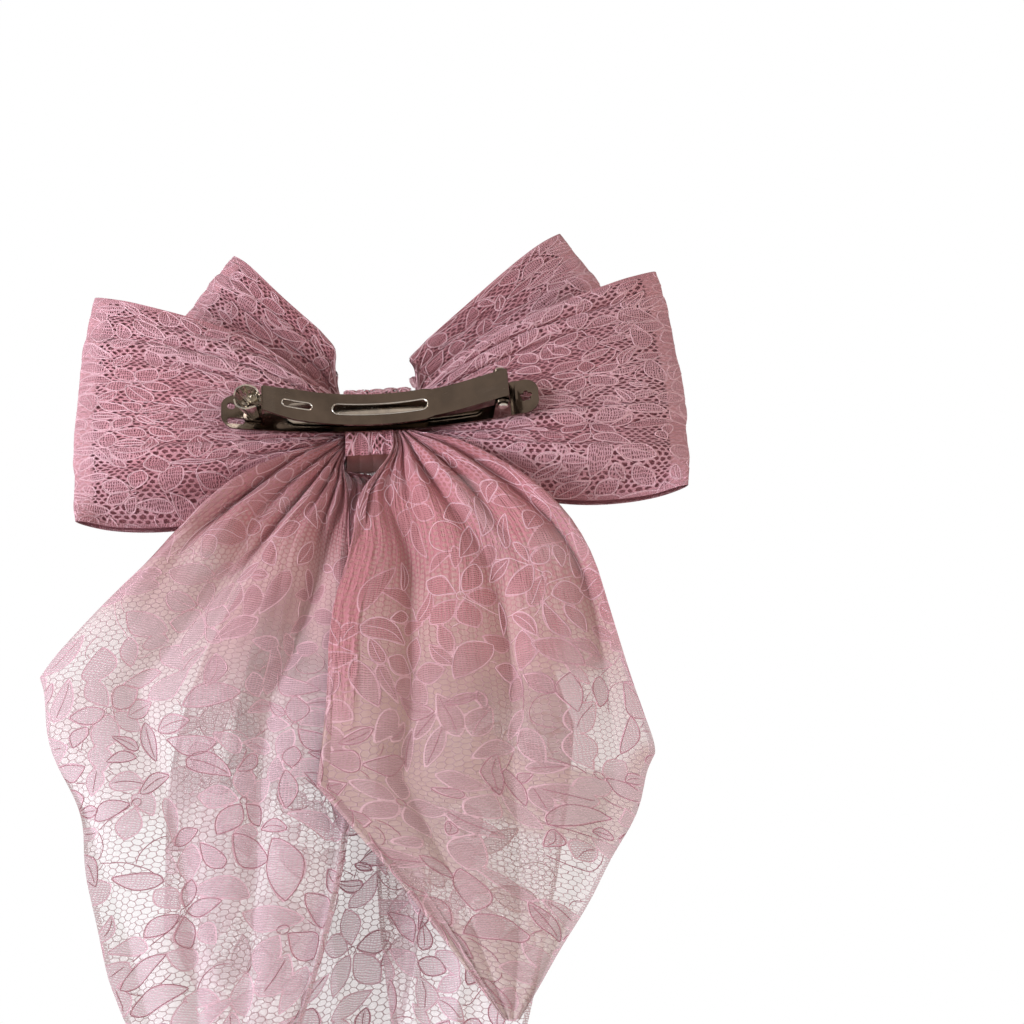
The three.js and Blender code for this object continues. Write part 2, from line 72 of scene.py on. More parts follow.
# Each tail's stations: inner edge, outer edge. Its folds stand proud on the side given by face; the
# station numbered corner is a sharp one. A share of it, turned, is folded over along the inner edge.
# The tulle's bunching fades over haze mm from the knot, and veil is how far it fills the far holes.
TAILS = {
    "rear_tail_left": dict(seed=53, face=1, corner=7, turned=0.09, haze=58, veil=0.84, stations=[
        ((-3.2, -6.25, -4.6), (-8.3, -6.25, -4.6)), ((-3.2, -6.25, -10.3), (-12.6, -5.8, -6.4)),
        ((0.8, -6.4, -15.8), (-21, -4.2, -9.8)), ((7, -7, -22.5), (-39, -0.8, -26)),
        ((7.4, -7.6, -38), (-49.5, -3, -40.4)), ((13, -8, -55), (-54, -6, -60)),
        ((13.9, -8, -75), (-57, -7.5, -77)), ((17.2, -8, -96), (-60.3, -8, -92.5)),
        ((9, -8, -107), (-56, -8, -104)), ((-1, -8, -120), (-46.5, -8, -118)),
        ((-20, -8, -149), (-23.5, -8, -149))]),
    "rear_tail_right": dict(seed=67, face=1, corner=5, turned=0.03, haze=42, veil=0.64, stations=[
        ((8.5, -9.8, -8.0), (8.5, -9.8, -2.8)), ((9.9, -9.8, -13), (13, -8.0, -5.5)),
        ((8.2, -10, -20), (22, -3.6, -10.4)), ((9, -10.5, -34), (46.5, -0.8, -27.5)),
        ((9.5, -11, -55), (63, -3.5, -45)), ((9, -11, -75), (83, -7, -66.3)),
        ((9, -11, -97), (75.5, -8, -94)), ((14, -11, -122), (70, -8, -117)),
        ((24, -10, -150), (61.5, -8, -148)), ((38, -8, -178), (42, -8, -180))]),
    "front_tail_left": dict(seed=71, face=-1, corner=4, turned=0.0, haze=46, veil=0.52, stations=[
        ((-8.5, -15.2, -8.0), (-8.5, -15.2, -2.8)), ((-9.9, -15.8, -12.8), (-12.5, -16.0, -7.5)),
        ((-2.5, -16.4, -16), (-18, -17.0, -16)), ((2, -17, -40), (-34, -17, -40)),
        ((5, -17, -80), (-42, -17, -80)), ((6, -17, -120), (-35, -17, -122)),
        ((3, -17, -160), (-21, -17, -162)), ((-4, -17, -196), (-8, -17, -197))]),
    "front_tail_right": dict(seed=83, face=-1, corner=6, turned=0.0, haze=46, veil=0.52, stations=[
        ((8.5, -15.2, -8.0), (8.5, -15.2, -2.8)), ((8.4, -15.8, -10.9), (12.5, -16.0, -7.5)),
        ((-0.5, -16.8, -10.8), (15, -17.0, -11.5)), ((-4, -18.4, -19), (21, -18.0, -17)),
        ((-3, -21, -40), (40, -20, -40)),
        ((-6, -22, -80), (54, -22, -80)), ((-4, -22, -120), (56, -22, -122)),
        ((6, -22, -160), (38, -22, -160)), ((20, -22, -203), (24, -22, -204))]),
}

NET_PITCH = 1.75
RIB_PITCH = 0.55
CORD_SIZE = (0.15, 0.13)         # half width and half height
TAIL_CORD_SIZE = (0.11, 0.10)
LOOP_GATHER = 0.66               # how far a loop's pattern is drawn in across it
GRID_STEP = 0.55
WRAP_WIDTH = 24.0


# -------------------------- numbers

def smoothstep(value, low, high):
    t = np.clip((value - low) / (high - low), 0, 1)
    return t * t * (3 - 2 * t)


def smooth_line(points, count, rounds=3):
    """The points as a line with its corners cut round, in count even steps."""
    line = np.array(points, float)
    for _ in range(rounds):
        cut = np.empty((2 * len(line), line.shape[1]))
        cut[0], cut[-1] = line[0], line[-1]
        cut[1:-1:2] = 0.75 * line[:-1] + 0.25 * line[1:]
        cut[2::2] = 0.25 * line[:-1] + 0.75 * line[1:]
        line = cut
    return resample(line, count)


def resample(line, count):
    along = np.concatenate([[0], np.cumsum(np.linalg.norm(np.diff(line, axis=0), axis=1))])
    wanted = np.linspace(0, along[-1], count)
    return np.stack([np.interp(wanted, along, line[:, k]) for k in range(line.shape[1])], 1)


class Ripple:
    """A smooth random field over a plane: a few plane waves with fixed directions."""

    def __init__(self, seed, waves=6, low=0.6, high=1.7):
        draw = np.random.default_rng(seed)
        angle = draw.uniform(0, math.pi, waves)
        size = draw.uniform(low, high, waves)
        self.kx, self.ky = size * np.cos(angle), size * np.sin(angle)
        self.phase = draw.uniform(0, 2 * math.pi, waves)

    def __call__(self, x, y):
        total = sum(np.sin(kx * x + ky * y + p) for kx, ky, p in zip(self.kx, self.ky, self.phase))
        return total / len(self.phase)


# -------------------------- sheets

class Sheet:
    """A cloth surface over a grid of rows along it and columns across it, with its flat cut in mm."""

    def __init__(self, points, along, across, flat):
        self.points, self.along, self.across, self.flat = points, along, across, flat
        down = np.gradient(points, axis=0)
        side = np.gradient(points, axis=1)
        normal = np.cross(down, side)
        self.normals = normal / np.maximum(np.linalg.norm(normal, axis=2, keepdims=True), 1e-9)

    def place(self, flat_points):
        """Points and normals on the cloth for flat (u, v) in mm, and which of them lie on it."""
        u, v = flat_points[:, 0], flat_points[:, 1]
        rows, columns = self.points.shape[:2]
        row = np.interp(u, self.along, np.arange(rows))
        low = np.interp(row, np.arange(rows), self.across[:, 0])
        high = np.interp(row, np.arange(rows), self.across[:, -1])
        share = (v - low) / np.maximum(high - low, 1e-6)
        on = (u > self.along[0]) & (u < self.along[-1]) & (share > 0) & (share < 1)
        column = np.clip(share, 0, 1) * (columns - 1)
        r = np.minimum(row.astype(int), rows - 2)
        c = np.minimum(column.astype(int), columns - 2)
        a, b = (row - r)[:, None], (column - c)[:, None]

        def mix(grid):
            upper = grid[r, c] * (1 - b) + grid[r, c + 1] * b
            lower = grid[r + 1, c] * (1 - b) + grid[r + 1, c + 1] * b
            return upper * (1 - a) + lower * a

        return mix(self.points), mix(self.normals), on


class Pleats:
    """Gathers across a strip: crests that run down it, each with its own height and reach."""

    def __init__(self, seed, count, low_reach, high_reach, wander=0.5, sharp=1.3):
        draw = np.random.default_rng(seed)
        self.count, self.wander, self.sharp = count, wander, sharp
        self.drift = Ripple(seed + 1)
        self.heights = draw.uniform(0.45, 1.0, 64)
        self.reaches = draw.uniform(low_reach, high_reach, 64)

    def __call__(self, across, distance):
        """Height of the cloth, 0 to 1, and its sideways lean in pleats, across in shares of the strip."""
        phase = self.count * across + self.wander * self.drift(across * 4.0, distance / 30.0) + 20.0
        which = np.floor(phase).astype(int) % 64
        turn = phase - np.floor(phase)
        strength = self.heights[which] * np.exp(-((distance / self.reaches[which]) ** 2))
        return strength * np.sin(math.pi * turn) ** self.sharp, strength * np.sin(2 * math.pi * turn)


def loop_sheet(loop, inset=0.0, trim=0.0, step=GRID_STEP):
    """The lace of a loop, or with an inset its lining, as one Sheet."""
    probe = smooth_line(loop["path"], 400)
    length = np.linalg.norm(np.diff(probe[:, :2], axis=0), axis=1).sum() * loop["reach"]
    rows = int(length / step)
    columns = int(loop["width"] / step)
    line = smooth_line(loop["path"], rows)
    reach, y, half = line.T
    tangent = np.gradient(line[:, :2], axis=0)
    tangent /= np.linalg.norm(tangent, axis=1, keepdims=True)
    # out of the loop, in (reach, y)
    out_r, out_y = -tangent[:, 1:], tangent[:, :1]
    out = ((reach - LOBE_ROOT_X) * loop["reach"])[:, None]
    tilt = math.radians(loop["tilt"])
    longest = max(p[0] for p in loop["path"]) - LOBE_ROOT_X
    lift = loop["rise"] * np.clip((reach - LOBE_ROOT_X) / longest, 0, 1)[:, None] ** loop["bend"]
    over = smoothstep(out, 0, 15) * (1 - smoothstep(out, 30, 70))
    lean = tilt * smoothstep(out, 0, 18) + math.radians(loop["overhang"]) * over
    t = np.linspace(-1, 1, columns)[None, :]
    half = (half - trim)[:, None]
    u = np.linspace(0, length, rows)
    share = 0.5 + 0.5 * t
    near, near_lean = Pleats(loop["seed"], 10, 24, 62)(share, out)
    fine, _ = Pleats(loop["seed"] + 5, 23, 30, 60, 1.2)(share, out)
    broad, _ = Pleats(loop["seed"] + 9, 3.5, 70, 160, 0.8)(share, out)
    rear = 1 - smoothstep(np.linspace(0, 1, rows), 0.44, 0.56)[:, None]
    fullness = rear * loop["full"][0] + (1 - rear) * loop["full"][1]
    rise = smoothstep(out, -2, 16)
    height = fullness * rise * (2.3 * near + 0.5 * fine + 1.0 * smoothstep(out, 14, 40) * broad)
    height = height * (1 - 0.6 * smoothstep(np.abs(t), 0.86, 1.0)) - inset
    shifted = t - 0.045 * near_lean * rise
    # the long edges dip between the knot and the fold, and the fold bellies out between them
    way = np.clip((out - 22) / (out.max() - 22), 0, 1)
    dip = 0.06 * np.sin(math.pi * way) * smoothstep(t, 0.3, 1.0)
    drawn_up = loop["low"] * (1.4 - 0.4 * way) * smoothstep(-t, 0.0, 1.0)
    drawn_up = drawn_up + loop["high"] * smoothstep(t, 0.0, 1.0)
    along = (shifted - dip + drawn_up) * half
    belly = loop["belly"] * (1 - t ** 2) * smoothstep(way, 0.2, 1.0) ** 2
    stretch = out + belly + height * out_r
    x = LOBE_ROOT_X + stretch * math.cos(tilt) - along * np.sin(lean)
    z = LOBE_ROOT_Z + stretch * math.sin(tilt) + lift + along * np.cos(lean)
    y = y[:, None] + height * out_y
    # the head side's lower edge is drawn down to the front's, which closes the loop underneath
    front = np.arange(rows) > rows // 2
    front_y = np.interp(reach, reach[front][::-1], line[front, 1][::-1])[:, None]
    closing = loop["closed"] * rear * smoothstep(-t, 0.66, 1.0) * smoothstep(out, 8, 26)
    y = y + closing * (front_y + 2.6 - inset - y)
    points = np.stack([loop["side"] * x, y, z], 2)
    across = (t * (loop["width"] / 2 - trim)) + 0 * u[:, None]
    sheet = Sheet(points, u, across, (length, loop["width"] - 2 * trim))
    # Painted light and shade: lighter with the gathers' height and towards the outer fold, darker in the
    # valleys and by the knot.
    sheet.crest = np.clip(0.1 + (height + inset) / 2.2 + 0.5 * smoothstep(out, 34, 66), 0, 1)
    sheet.bunch = np.exp(-out / 26.0) + 0 * t
    # the lace is close and plain at its long edges and at the outer fold
    fold = smoothstep(out, out.max() - 5.5, out.max() - 4.5)
    sheet.veil = np.maximum(smoothstep(np.abs(t), 0.95, 0.97), fold)
    return sheet


def tail_sheet(tail, step=GRID_STEP):
    # a station given twice keeps its corner
    stations = [list(inner) + list(outer) for inner, outer in tail["stations"]]
    corner = tail["corner"]
    stations = np.array(stations[:corner] + 2 * [stations[corner]] + stations[corner:])
    probe = smooth_line(stations, 300, rounds=2)
    middle = 0.5 * (probe[:, :3] + probe[:, 3:])
    length = np.linalg.norm(np.diff(middle, axis=0), axis=1).sum()
    rows = int(length / step)
    columns = int(TAIL_WIDTH / step)
    line = smooth_line(stations, rows, rounds=2)
    inner, outer = line[:, :3], line[:, 3:]
    middle = 0.5 * (inner + outer)
    u = np.concatenate([[0], np.cumsum(np.linalg.norm(np.diff(middle, axis=0), axis=1))])
    real = np.linalg.norm(outer - inner, axis=1)
    widest = real.argmax()
    width = np.where(np.arange(rows) < widest, np.maximum(real.max() * 1.04, real), real * 1.04)
    w = flat_w = np.linspace(0, 1, columns)[None, :]
    distance = u[:, None] + 0 * w
    near, near_lean = Pleats(tail["seed"], 6.5, 14, 50, 1.1, 2.2)(w, distance)
    fine, _ = Pleats(tail["seed"] + 5, 21, 20, 60, 1.4)(w, distance)
    broad, broad_lean = Pleats(tail["seed"] + 9, 3.3, 110, 210, 0.7)(w, distance)
    height = np.minimum(0.6 + 0.24 * distance, 5.2) * near + 0.5 * fine
    height = height + (5.0 - 2.0 * smoothstep(distance, 45, 100)) * smoothstep(distance, 8, 45) * broad
    sway = Ripple(tail["seed"] + 2)
    height = height + 1.1 * smoothstep(distance, 25, 80) * (1 + sway(w * 5.5, distance / 26))
    crumple = Ripple(tail["seed"] + 7, 9, 0.7, 2.0)
    height = height + 1.1 * smoothstep(distance, 8, 30) * crumple(w * 17, distance / 9)
    height = height * (1 - 0.5 * smoothstep(distance, length - 45, length))
    # the inner selvedge is turned over towards the viewer
    turned = tail["turned"]
    w = np.where(w < turned, 0.8 * (turned - w), (w - turned) / (1 - turned))
    shifted = np.clip(w - 0.018 * near_lean - 0.03 * broad_lean * smoothstep(distance, 10, 40), -0.02, 1.02)
    waver = Ripple(tail["seed"] + 11, 5, 0.6, 2.2)
    past_corner = smoothstep(distance, distance[widest, 0] - 8, distance[widest, 0] + 4)
    shifted = shifted + 0.03 * past_corner * smoothstep(w, 0.85, 1.0) * waver(0 * w, distance / 6.5)
    points = inner[:, None, :] * (1 - shifted[..., None]) + outer[:, None, :] * shifted[..., None]
    over = smoothstep(turned - flat_w, 0, 0.02) * (1.0 + 0.5 * sway(flat_w * 9, distance / 7))
    points[..., 1] += tail["face"] * (height + over)
    across = flat_w * width[:, None]
    sheet = Sheet(points, u, across, (length, real.max() * 1.04))
    # Painted light and shade: lighter on the pleats' crests, on the turned-over strip and from 45 mm down
    # the tail, darker in the valleys and by the knot.
    crest = 1.25 * near - 0.06 + 0.4 * over + 0.12 * broad + smoothstep(distance, 45, 95)
    sheet.crest = np.clip(crest, 0, 1)
    doubled = smoothstep(2 * turned - flat_w, 0, 0.02) * (1 - smoothstep(distance, 62, 100))
    sheet.bunch = np.maximum(np.exp(-distance / tail["haze"]) + 0 * w, 0.62 * doubled)
    sheet.veil = tail["veil"] + (0.98 - tail["veil"]) * smoothstep(sheet.bunch, 0.06, 0.4)
    return sheet


# -------------------------- the lace's drawing

def leaf(base, angle, length, width, bow=0.0, belly=0.8, steps=13):
    """Outline of a leaf or petal in flat mm. Its middle line is bent by bow; a belly below 1 puts its
    widest place nearer the base."""
    t = np.linspace(0, 1, steps)
    middle = np.stack([t * length, bow * length * np.sin(math.pi * t)], 1)
    half = 0.5 * width * np.sin(math.pi * t ** belly) ** 0.85
    half[0] = half[-1] = 0
    upper, lower = middle + np.stack([0 * t, half], 1), middle - np.stack([0 * t, half], 1)
    outline = np.concatenate([upper, lower[-2:0:-1]])
    c, s = math.cos(angle), math.sin(angle)
    return outline @ np.array([[c, s], [-s, c]]) + np.array(base)


def arc_line(start, angle, length, turn, steps):
    """A stem or tendril: a line that leaves start at angle and turns evenly by turn on its way."""
    headings = angle + turn * np.linspace(0, 1, steps) ** 1.2
    moves = length / steps * np.stack([np.cos(headings), np.sin(headings)], 1)
    return np.concatenate([[start], np.array(start) + np.cumsum(moves, axis=0)])


def inside_outline(outline, u, v):
    """Which points of flat mm lie inside a closed outline."""
    a, b = outline, np.roll(outline, -1, axis=0)
    slope = (b[:, 0] - a[:, 0]) / np.where(b[:, 1] == a[:, 1], 1e-9, b[:, 1] - a[:, 1])
    v = v[..., None]
    crosses = (a[:, 1] > v) != (b[:, 1] > v)
    return (crosses & (u[..., None] < a[:, 0] + (v - a[:, 1]) * slope)).sum(-1) % 2 == 1


class Drawing:
    """The lace's pattern over a strip of flat cloth: leaves and petals that don't overlap, and stems."""

    CELL = 0.4

    def __init__(self, length, low, high, seed, pitch, cover, openness=0.0, corded=0.72):
        self.draw = np.random.default_rng(seed)
        self.openness, self.clearing = openness, Ripple(seed + 19, 5, 0.08, 0.2)
        self.low, self.length, self.high = low, length, high
        self.taken = np.zeros((int(length / self.CELL) + 2, int((high - low) / self.CELL) + 2), bool)
        self.leaves, self.lines, self.veins = [], [], []
        shift = self.draw.uniform(0, pitch, 2)
        for i in range(-1, int(length / pitch) + 2):
            for j in range(-1, int((high - low) / pitch) + 2):
                u = i * pitch + shift[0] + self.draw.uniform(-3, 3)
                v = low + (j + 0.5 * (i % 2)) * pitch + shift[1] + self.draw.uniform(-3, 3)
                if self.is_open(u, v) < 0.8:
                    self.spray((u, v), self.draw.uniform(0, 2 * math.pi), self.draw.uniform(0.95, 1.2))
        for _ in range(1300):
            if self.taken.mean() > cover:
                break
            place = (self.draw.uniform(0, length), self.draw.uniform(low, high))
            if self.is_open(*place) > 0.5:
                continue
            size = self.draw.uniform(0.55, 1.15)
            self.any_leaf(place, self.draw.uniform(0, 2 * math.pi), size)
        self.lines = [part for line in self.lines for part in self.open_parts(line)] + self.veins
        outlined = [outline for outline in self.leaves if self.draw.uniform() < corded]
        self.lines += [np.concatenate([outline, outline[:2]]) for outline in outlined]
        waver = Ripple(seed + 3, 7, 0.4, 1.3)
        self.lines = [line + 0.5 * np.stack([waver(*line.T), waver(*(line.T + 40))], 1)
                      for line in self.lines]

    def is_open(self, u, v):
        """1 in the middle of the pattern's bare patches of net, 0 among its leaves."""
        return self.openness * smoothstep(self.clearing(u, v), 0.0, 0.26)

    def gathered(self, share):
        """Draws the pattern in across the strip, as its gathers do."""
        squeeze = np.array([1.0, share])
        self.leaves = [outline * squeeze for outline in self.leaves]
        self.lines = [line * squeeze for line in self.lines]
        return self

    def cells(self, u, v):
        return ((u / self.CELL).astype(int), ((v - self.low) / self.CELL).astype(int))

    def add_leaf(self, outline):
        """Adds a leaf if the cloth is free there."""
        low, high = outline.min(0), outline.max(0)
        rows = np.arange(max(low[0], 0), min(high[0], self.length), self.CELL)
        columns = np.arange(max(low[1], self.low), min(high[1], self.high), self.CELL)
        u, v = np.meshgrid(rows, columns, indexing="ij")
        if u.size < 20:
            return
        inside = inside_outline(outline, u, v)
        cells = self.cells(u[inside], v[inside])
        if not inside.any() or self.taken[cells].mean() > 0.06:
            return
        self.taken[cells] = True
        self.leaves.append(outline)

    def open_parts(self, line):
        """The stretches of a stem that lie between leaves."""
        line = resample(line, max(int(len(line) * 1.5), 8))
        u, v = np.clip(line[:, 0], 0, self.length), np.clip(line[:, 1], self.low, self.high)
        free = ~self.taken[self.cells(u, v)]
        ends = np.nonzero(np.diff(np.concatenate([[0], free.astype(int), [0]])))[0].reshape(-1, 2)
        return [line[first:last] for first, last in ends if last - first > 5]

    def any_leaf(self, base, angle, size):
        """A leaf of the pattern's usual sizes, now and then with a vein."""
        draw = self.draw
        length, width = size * draw.uniform(8.0, 13.0), size * draw.uniform(3.6, 6.2)
        outline = leaf(base, angle, length, width, draw.uniform(-0.14, 0.14), draw.uniform(0.6, 1.15))
        count = len(self.leaves)
        self.add_leaf(outline)
        if len(self.leaves) > count and draw.uniform() < 0.4:
            half = len(outline) // 2
            lower = np.roll(outline[::-1], 1, axis=0)[: half + 1]
            self.veins.append(0.5 * (outline[: half + 1] + lower)[1:-1])

    def spray(self, centre, turn, size):
        """One flower with its stems, leaves and tendrils."""
        draw = self.draw
        circle = np.linspace(0, 2 * math.pi, 14)
        self.veins.append(np.array(centre) + 0.9 * size * np.stack([np.cos(circle), np.sin(circle)], 1))
        for k in range(5):
            angle = turn + 2 * math.pi * k / 5 + draw.uniform(-0.15, 0.15)
            base = np.array(centre) + 1.0 * size * np.array([math.cos(angle), math.sin(angle)])
            length, width = size * draw.uniform(6.4, 8.6), size * draw.uniform(4.0, 5.4)
            self.add_leaf(leaf(base, angle, length, width, draw.uniform(-0.1, 0.1), draw.uniform(0.9, 1.3)))
        for sign in (1, -1):
            heading = turn + sign * draw.uniform(1.9, 2.5)
            stem = arc_line(centre, heading, 24 * size, sign * draw.uniform(0.7, 1.9), 40)
            self.lines.append(stem)
            for place, flank in ((14, 1), (22, -1), (30, 1), (39, -1)):
                step = stem[place + 1] - stem[place]
                angle = math.atan2(step[1], step[0]) + flank * sign * draw.uniform(0.35, 0.9)
                self.any_leaf(stem[place + 1], angle, size * draw.uniform(0.7, 1.0))
            curl = arc_line(stem[26], heading - sign * 0.4, 17 * size, -sign * draw.uniform(2.2, 4.6), 26)
            self.lines.append(curl)


def distance_to_leaves(sheet, leaves, far=2.5):
    """At each point of the grid, mm to the nearest leaf's edge: below zero inside a leaf."""
    u = np.broadcast_to(sheet.along[:, None], sheet.across.shape).ravel()
    v = sheet.across.ravel()
    nearest = np.full(u.shape, far)
    for outline in leaves:
        low, high = outline.min(0) - far, outline.max(0) + far
        near = np.nonzero((u > low[0]) & (u < high[0]) & (v > low[1]) & (v < high[1]))[0]
        if not len(near):
            continue
        p = np.stack([u[near], v[near]], 1)[:, None, :]
        a, b = outline, np.roll(outline, -1, axis=0)
        edge = b - a
        t = np.clip(((p - a) * edge).sum(2) / np.maximum((edge ** 2).sum(1), 1e-9), 0, 1)
        gap = np.linalg.norm(p - a - t[..., None] * edge, axis=2).min(1)
        inside = inside_outline(outline, u[near], v[near])
        nearest[near] = np.minimum(nearest[near], np.where(inside, -gap, gap))
    return nearest


# -------------------------- meshes

def make_mesh(name, vertices, faces, material, uv=None, values=None):
    """A smooth mesh object from metre coordinates, with an optional flat map and per-vertex values."""
    mesh = bpy.data.meshes.new(name)
    faces = np.asarray(faces, np.int32)
    sides = faces.shape[1]
    mesh.vertices.add(len(vertices))
    mesh.vertices.foreach_set("co", np.asarray(vertices, np.float32).ravel())
    mesh.loops.add(faces.size)
    mesh.loops.foreach_set("vertex_index", faces.ravel())
    mesh.polygons.add(len(faces))
    mesh.polygons.foreach_set("loop_start", np.arange(0, faces.size, sides, dtype=np.int32))
    mesh.polygons.foreach_set("use_smooth", np.ones(len(faces), bool))
    mesh.update(calc_edges=True)
    if uv is not None:
        layer = mesh.uv_layers.new(name="flat")
        layer.data.foreach_set("uv", np.asarray(uv, np.float32)[faces.ravel()].ravel())
    for key, column in (values or {}).items():
        attribute = mesh.attributes.new(key, "FLOAT", "POINT")
        attribute.data.foreach_set("value", np.asarray(column, np.float32))
    mesh.validate()
    piece = bpy.data.objects.new(name, mesh)
    bpy.context.scene.collection.objects.link(piece)
    mesh.materials.append(material)
    return piece


def grid_faces(rows, columns, closed=False):
    r = np.arange(rows - 1)[:, None]
    c = np.arange(columns if closed else columns - 1)[None, :]
    after = (c + 1) % columns
    corners = [r * columns + c, (r + 1) * columns + c, (r + 1) * columns + after, r * columns + after]
    return np.stack(np.broadcast_arrays(*corners), 2).reshape(-1, 4)


def sheet_piece(name, sheet, material, values=None):
    rows, columns = sheet.points.shape[:2]
    u = np.broadcast_to(sheet.along[:, None], sheet.across.shape)
    uv = np.stack([u.ravel(), sheet.across.ravel()], 1) * 0.01
    vertices = sheet.points.reshape(-1, 3) * MM
    return make_mesh(name, vertices, grid_faces(rows, columns), material, uv, values)


def cord_piece(name, sheet, lines, material, width, height, sides=5):
    """Raised cords on a sheet, as flattened tubes along lines drawn in flat mm."""
    vertices, faces, start = [], [], 0
    turn = 2 * math.pi * np.arange(sides) / sides
    for line in lines:
        steps = np.linalg.norm(np.diff(line, axis=0), axis=1).sum()
        line = resample(line, max(int(steps / 0.62), 3))
        points, normals, on = sheet.place(line)
        run_ends = np.nonzero(np.diff(np.concatenate([[0], on.astype(int), [0]])))[0].reshape(-1, 2)
        for first, last in run_ends:
            if last - first < 3:
                continue
            p, n = points[first:last], normals[first:last]
            along = np.gradient(p, axis=0)
            side = np.cross(n, along)
            side /= np.maximum(np.linalg.norm(side, axis=1, keepdims=True), 1e-9)
            ring = (p[:, None, :] + width * np.cos(turn)[None, :, None] * side[:, None, :]
                    + height * np.sin(turn)[None, :, None] * n[:, None, :])
            # both ends close to a point
            ring[0], ring[-1] = p[0], p[-1]
            vertices.append(ring.reshape(-1, 3))
            faces.append(grid_faces(len(p), sides, closed=True) + start)
            start += len(p) * sides
    return make_mesh(name, np.concatenate(vertices) * MM, np.concatenate(faces), material)


# -------------------------- materials

class Nodes:
    """A short way to write a material's node tree."""

    def __init__(self, name):
        self.material = bpy.data.materials.new(name)
        self.material.use_nodes = True
        self.tree = self.material.node_tree
        self.shader = self.tree.nodes["Principled BSDF"]

    def put(self, kind, inputs=(), **settings):
        node = self.tree.nodes.new(kind)
        for key, value in settings.items():
            setattr(node, key, value)
        for key, value in dict(inputs).items():
            self.feed(node.inputs[key], value)
        return node

    def feed(self, socket, value):
        if isinstance(value, bpy.types.NodeSocket):
            self.tree.links.new(value, socket)
        else:
            socket.default_value = value

    def math(self, operation, *values):
        node = self.put("ShaderNodeMath", operation=operation)
        for socket, value in zip(node.inputs, values):
            self.feed(socket, value)
        return node.outputs[0]

    def times(self, first, second):
        return self.math("MULTIPLY", first, second)

    def plus(self, first, second):
        return self.math("ADD", first, second)

    def less(self, first, second):
        return self.math("SUBTRACT", first, second)

    def vector(self, operation, *values):
        node = self.put("ShaderNodeVectorMath", operation=operation)
        for socket, value in zip(node.inputs, values):
            self.feed(socket, value)
        return node.outputs["Value" if operation in ("LENGTH", "DOT_PRODUCT") else "Vector"]

    def step(self, value, low, high):
        node = self.put("ShaderNodeMapRange", {"Value": value, "From Min": low, "From Max": high},
                        interpolation_type="SMOOTHSTEP")
        return node.outputs["Result"]

    def mix(self, share, first, second):
        node = self.put("ShaderNodeMix", data_type="RGBA")
        self.feed(node.inputs["Factor"], share)
        self.feed(node.inputs[6], first)
        self.feed(node.inputs[7], second)
        return node.outputs[2]

    def noise(self, scale, detail=3.0, vector=None, roughness=0.55):
        node = self.put("ShaderNodeTexNoise", {"Scale": scale, "Detail": detail, "Roughness": roughness})
        place = vector or self.put("ShaderNodeTexCoord").outputs["Object"]
        self.feed(node.inputs["Vector"], place)
        return node.outputs["Fac"]

    def bump(self, height, distance, strength=1.0):
        node = self.put("ShaderNodeBump", {"Height": height, "Distance": distance, "Strength": strength})
        self.feed(self.shader.inputs["Normal"], node.outputs["Normal"])

    def set(self, **values):
        for key, value in values.items():
            self.feed(self.shader.inputs[key.replace("_", " ")], value)


def flat_mm(n):
    """The cloth's own flat coordinates in mm."""
    flat = n.put("ShaderNodeUVMap", uv_map="flat").outputs["UV"]
    return n.vector("MULTIPLY", flat, (100, 100, 0))


def hex_net(n, place, pitch):
    """How close a place is to the threads of a hexagonal net: 0 in a hole's middle, 1 on a thread."""
    cell = (1.0, 1.7320508, 1.0)
    scaled = n.vector("DIVIDE", place, (pitch * cell[0], pitch * 0.92 * cell[1], 1.0))
    found = []
    for offset in (0.0, 0.5):
        moved = n.vector("FRACTION", n.vector("ADD", scaled, (offset, offset, 0)))
        found.append(n.vector("MULTIPLY", n.vector("SUBTRACT", moved, (0.5, 0.5, 0)), cell))
    nearer = n.math("LESS_THAN", n.vector("LENGTH", found[0]), n.vector("LENGTH", found[1]))
    choice = n.put("ShaderNodeMix", data_type="VECTOR")
    n.feed(choice.inputs["Factor"], nearer)
    n.feed(choice.inputs[4], found[1])
    n.feed(choice.inputs[5], found[0])
    folded_cell = n.vector("ABSOLUTE", choice.outputs[1])
    sideways = n.put("ShaderNodeSeparateXYZ", {"Vector": folded_cell}).outputs["X"]
    slanted = n.vector("DOT_PRODUCT", folded_cell, (0.5, 0.8660254, 0))
    return n.times(n.math("MAXIMUM", sideways, slanted), 2.0)


def stripes(n, value, pitch):
    """0 between stripes to 1 in the middle of one."""
    turn = n.math("FRACT", n.math("DIVIDE", value, pitch))
    return n.less(1.0, n.times(n.math("ABSOLUTE", n.less(turn, 0.5)), 2.0))


